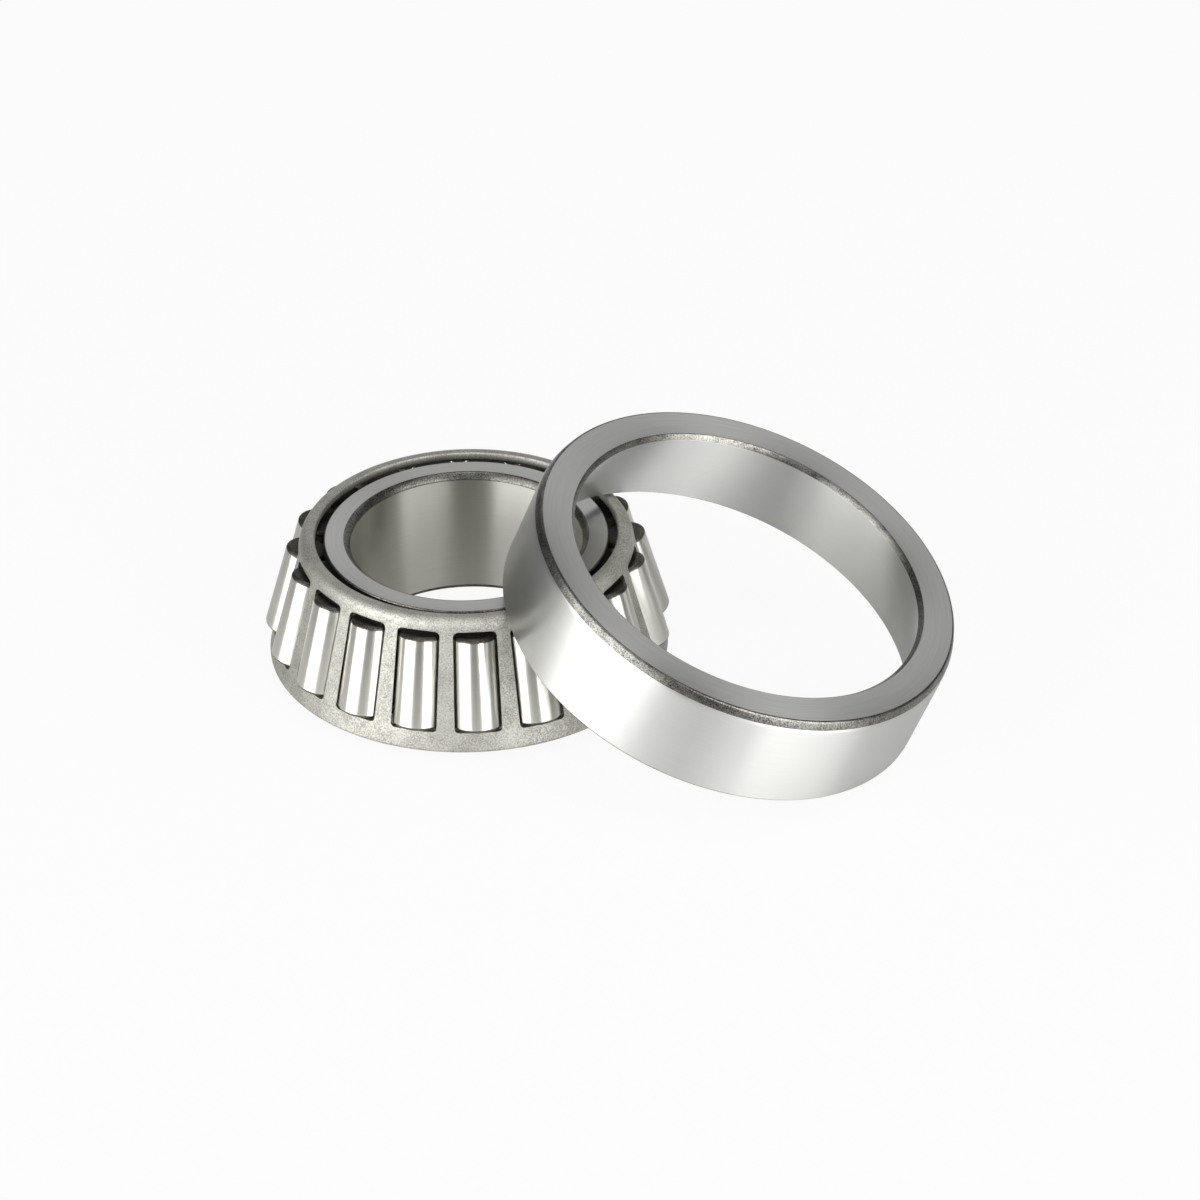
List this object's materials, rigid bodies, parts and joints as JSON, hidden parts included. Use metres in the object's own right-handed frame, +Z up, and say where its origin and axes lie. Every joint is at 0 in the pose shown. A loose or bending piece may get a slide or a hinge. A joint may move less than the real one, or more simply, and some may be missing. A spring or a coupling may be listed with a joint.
{
  "type": "tapered roller bearing",
  "caption": "Tapered roller bearing in two loose halves: inner ring with cage and tapered rollers standing flat, and the plain outer ring leaning on it.",
  "frame": {"origin": "middle of the whole object seen from above, on the surface that it stands on", "axes": "+Z up, along the axis of the inner ring; +X from the inner ring towards the low side of the leaning outer ring; both ring axes lie in the plane y = 0"},
  "size_m": [0.0762, 0.047, 0.0279],
  "materials": {
    "inner_ring_steel": "ground bearing steel, satin",
    "outer_ring_steel": "ground bearing steel, satin faces and polished raceway",
    "cage_steel": "pressed sheet steel, tumbled matte",
    "roller_steel": "superfinished bearing steel, bright"
  },
  "bodies": {
    "inner_ring": {"inner_ring": "inner_ring_steel"},
    "cage": {"cage": "cage_steel"},
    "outer_ring": {"outer_ring": "outer_ring_steel"},
    "roller_01": {"roller_01": "roller_steel"},
    "roller_02": {"roller_02": "roller_steel"},
    "roller_03": {"roller_03": "roller_steel"},
    "roller_04": {"roller_04": "roller_steel"},
    "roller_05": {"roller_05": "roller_steel"},
    "roller_06": {"roller_06": "roller_steel"},
    "roller_07": {"roller_07": "roller_steel"},
    "roller_08": {"roller_08": "roller_steel"},
    "roller_09": {"roller_09": "roller_steel"},
    "roller_10": {"roller_10": "roller_steel"},
    "roller_11": {"roller_11": "roller_steel"},
    "roller_12": {"roller_12": "roller_steel"},
    "roller_13": {"roller_13": "roller_steel"},
    "roller_14": {"roller_14": "roller_steel"},
    "roller_15": {"roller_15": "roller_steel"},
    "roller_16": {"roller_16": "roller_steel"},
    "roller_17": {"roller_17": "roller_steel"},
    "roller_18": {"roller_18": "roller_steel"},
    "roller_19": {"roller_19": "roller_steel"}
  },
  "joints": [
    {"name": "cage_spin", "type": "hinge", "parent": "inner_ring", "child": "cage", "pos_m": [-0.01607, 0, 0], "axis": [0, 0, 1], "continuous": true},
    {"name": "roller_01_spin", "type": "hinge", "parent": "cage", "child": "roller_01", "pos_m": [-0.01317, -0.01939, 0.0034], "axis": [-0.036, 0.2409, 0.9699], "continuous": true},
    {"name": "roller_02_spin", "type": "hinge", "parent": "cage", "child": "roller_02", "pos_m": [-0.00703, -0.0174, 0.0034], "axis": [-0.1123, 0.2162, 0.9699], "continuous": true},
    {"name": "roller_03_spin", "type": "hinge", "parent": "cage", "child": "roller_03", "pos_m": [-0.00187, -0.01352, 0.0034], "axis": [-0.1764, 0.168, 0.9699], "continuous": true},
    {"name": "roller_04_spin", "type": "hinge", "parent": "cage", "child": "roller_04", "pos_m": [0.00175, -0.00818, 0.0034], "axis": [-0.2214, 0.1016, 0.9699], "continuous": true},
    {"name": "roller_05_spin", "type": "hinge", "parent": "cage", "child": "roller_05", "pos_m": [0.00344, -0.00195, 0.0034], "axis": [-0.2424, 0.0242, 0.9699], "continuous": true},
    {"name": "roller_06_spin", "type": "hinge", "parent": "cage", "child": "roller_06", "pos_m": [0.00302, 0.00449, 0.0034], "axis": [-0.2371, -0.0558, 0.9699], "continuous": true},
    {"name": "roller_07_spin", "type": "hinge", "parent": "cage", "child": "roller_07", "pos_m": [0.00052, 0.01044, 0.0034], "axis": [-0.2062, -0.1298, 0.9699], "continuous": true},
    {"name": "roller_08_spin", "type": "hinge", "parent": "cage", "child": "roller_08", "pos_m": [-0.00377, 0.01526, 0.0034], "axis": [-0.1529, -0.1897, 0.9699], "continuous": true},
    {"name": "roller_09_spin", "type": "hinge", "parent": "cage", "child": "roller_09", "pos_m": [-0.00939, 0.01843, 0.0034], "axis": [-0.083, -0.229, 0.9699], "continuous": true},
    {"name": "roller_10_spin", "type": "hinge", "parent": "cage", "child": "roller_10", "pos_m": [-0.01573, 0.0196, 0.0034], "axis": [-0.0041, -0.2436, 0.9699], "continuous": true},
    {"name": "roller_11_spin", "type": "hinge", "parent": "cage", "child": "roller_11", "pos_m": [-0.02212, 0.01865, 0.0034], "axis": [0.0752, -0.2317, 0.9699], "continuous": true},
    {"name": "roller_12_spin", "type": "hinge", "parent": "cage", "child": "roller_12", "pos_m": [-0.02784, 0.01567, 0.0034], "axis": [0.1463, -0.1948, 0.9699], "continuous": true},
    {"name": "roller_13_spin", "type": "hinge", "parent": "cage", "child": "roller_13", "pos_m": [-0.03229, 0.011, 0.0034], "axis": [0.2016, -0.1367, 0.9699], "continuous": true},
    {"name": "roller_14_spin", "type": "hinge", "parent": "cage", "child": "roller_14", "pos_m": [-0.03499, 0.00513, 0.0034], "axis": [0.2351, -0.0638, 0.9699], "continuous": true},
    {"name": "roller_15_spin", "type": "hinge", "parent": "cage", "child": "roller_15", "pos_m": [-0.03563, -0.00129, 0.0034], "axis": [0.2431, 0.016, 0.9699], "continuous": true},
    {"name": "roller_16_spin", "type": "hinge", "parent": "cage", "child": "roller_16", "pos_m": [-0.03415, -0.00757, 0.0034], "axis": [0.2247, 0.0941, 0.9699], "continuous": true},
    {"name": "roller_17_spin", "type": "hinge", "parent": "cage", "child": "roller_17", "pos_m": [-0.03071, -0.01303, 0.0034], "axis": [0.182, 0.1619, 0.9699], "continuous": true},
    {"name": "roller_18_spin", "type": "hinge", "parent": "cage", "child": "roller_18", "pos_m": [-0.02569, -0.01708, 0.0034], "axis": [0.1196, 0.2122, 0.9699], "continuous": true},
    {"name": "roller_19_spin", "type": "hinge", "parent": "cage", "child": "roller_19", "pos_m": [-0.01962, -0.01928, 0.0034], "axis": [0.0442, 0.2396, 0.9699], "continuous": true},
    {"name": "outer_ring_lift", "type": "slide", "parent": "inner_ring", "child": "outer_ring", "axis": [0, 0, 1], "range_m": [0, 0.05]}
  ],
  "couplings": [
    {"joint": "roller_01_spin", "follows": "cage_spin", "ratio": 6.372},
    {"joint": "roller_02_spin", "follows": "cage_spin", "ratio": 6.372},
    {"joint": "roller_03_spin", "follows": "cage_spin", "ratio": 6.372},
    {"joint": "roller_04_spin", "follows": "cage_spin", "ratio": 6.372},
    {"joint": "roller_05_spin", "follows": "cage_spin", "ratio": 6.372},
    {"joint": "roller_06_spin", "follows": "cage_spin", "ratio": 6.372},
    {"joint": "roller_07_spin", "follows": "cage_spin", "ratio": 6.372},
    {"joint": "roller_08_spin", "follows": "cage_spin", "ratio": 6.372},
    {"joint": "roller_09_spin", "follows": "cage_spin", "ratio": 6.372},
    {"joint": "roller_10_spin", "follows": "cage_spin", "ratio": 6.372},
    {"joint": "roller_11_spin", "follows": "cage_spin", "ratio": 6.372},
    {"joint": "roller_12_spin", "follows": "cage_spin", "ratio": 6.372},
    {"joint": "roller_13_spin", "follows": "cage_spin", "ratio": 6.372},
    {"joint": "roller_14_spin", "follows": "cage_spin", "ratio": 6.372},
    {"joint": "roller_15_spin", "follows": "cage_spin", "ratio": 6.372},
    {"joint": "roller_16_spin", "follows": "cage_spin", "ratio": 6.372},
    {"joint": "roller_17_spin", "follows": "cage_spin", "ratio": 6.372},
    {"joint": "roller_18_spin", "follows": "cage_spin", "ratio": 6.372},
    {"joint": "roller_19_spin", "follows": "cage_spin", "ratio": 6.372}
  ]
}
